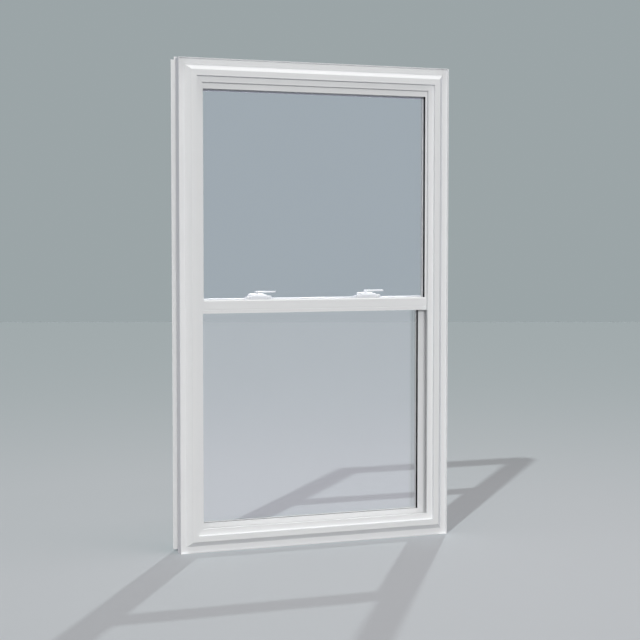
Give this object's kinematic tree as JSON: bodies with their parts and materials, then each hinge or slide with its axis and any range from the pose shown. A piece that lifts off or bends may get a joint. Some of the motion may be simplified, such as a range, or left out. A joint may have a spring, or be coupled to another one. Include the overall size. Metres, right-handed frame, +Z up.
{
  "type": "sash window",
  "caption": "Double-hung sash window in its hollow white frame: flat casing with a raised crown, nailing fins, two sliding double-glazed sashes, cam locks and spiral balances.",
  "frame": {"origin": "middle of the foot: centre of the overall box in X and Y, at the underside of the sill", "axes": "+X to the right seen from outdoors, +Y indoors, +Z up"},
  "size_m": [0.918, 0.112, 1.517],
  "materials": {
    "vinyl": "satin extruded vinyl",
    "glass": "clear",
    "spacer": "matt",
    "pile": "woven pile",
    "rubber": "matt",
    "cast": "white powder coat over die-cast zinc",
    "steel": "zinc plated",
    "tube": "drawn tube",
    "nylon": "moulded"
  },
  "bodies": {
    "frame": {"frame_head": "vinyl", "frame_sill": "vinyl", "frame_jamb_left": "vinyl", "frame_jamb_right": "vinyl", "nailing_fins": "vinyl", "head_stop": "vinyl", "pile_outer_left": "pile", "pile_outer_right": "pile", "pile_outer_head": "pile", "pile_inner_left": "pile", "pile_inner_right": "pile", "upper_balance_tube_left": "tube", "upper_balance_tube_right": "tube", "lower_balance_tube_left": "tube", "lower_balance_tube_right": "tube", "balance_screws": "steel"},
    "upper_sash": {"upper_stile_left": "vinyl", "upper_stile_right": "vinyl", "upper_top_rail": "vinyl", "upper_check_rail": "vinyl", "upper_pane_outer": "glass", "upper_pane_inner": "glass", "upper_spacer": "spacer", "upper_bead_top": "vinyl", "upper_bead_left": "vinyl", "upper_bead_right": "vinyl", "upper_setting_blocks": "rubber", "keeper_left": "cast", "keeper_right": "cast", "keeper_screws": "steel", "upper_balance_rod_left": "steel", "upper_balance_rod_right": "steel", "upper_rod_bracket_left": "nylon", "upper_rod_bracket_right": "nylon"},
    "lower_sash": {"lower_stile_left": "vinyl", "lower_stile_right": "vinyl", "lower_check_rail": "vinyl", "lower_bottom_rail": "vinyl", "lower_pane_outer": "glass", "lower_pane_inner": "glass", "lower_spacer": "spacer", "lower_bead_top": "vinyl", "lower_bead_bottom": "vinyl", "lower_bead_left": "vinyl", "lower_bead_right": "vinyl", "lower_setting_blocks": "rubber", "check_rail_pile": "pile", "bottom_seal": "rubber", "lock_case_left": "cast", "lock_case_right": "cast", "lock_screws": "steel", "lower_balance_rod_left": "steel", "lower_balance_rod_right": "steel", "lower_rod_bracket_left": "nylon", "lower_rod_bracket_right": "nylon"},
    "lock_left": {"lock_cam_left": "steel", "lock_lever_left": "cast"},
    "lock_right": {"lock_cam_right": "steel", "lock_lever_right": "cast"}
  },
  "joints": [
    {"name": "upper_sash_slide", "type": "slide", "parent": "frame", "child": "upper_sash", "axis": [0, 0, -1], "range_m": [0, 0.62]},
    {"name": "lower_sash_slide", "type": "slide", "parent": "frame", "child": "lower_sash", "axis": [0, 0, 1], "range_m": [0, 0.62]},
    {"name": "lock_turn_left", "type": "hinge", "parent": "lower_sash", "child": "lock_left", "pos_m": [-0.185, 0.0136, 0.785], "axis": [0, 0, 1], "range_deg": [0, 180]},
    {"name": "lock_turn_right", "type": "hinge", "parent": "lower_sash", "child": "lock_right", "pos_m": [0.185, 0.0136, 0.785], "axis": [0, 0, 1], "range_deg": [0, 180]}
  ]
}
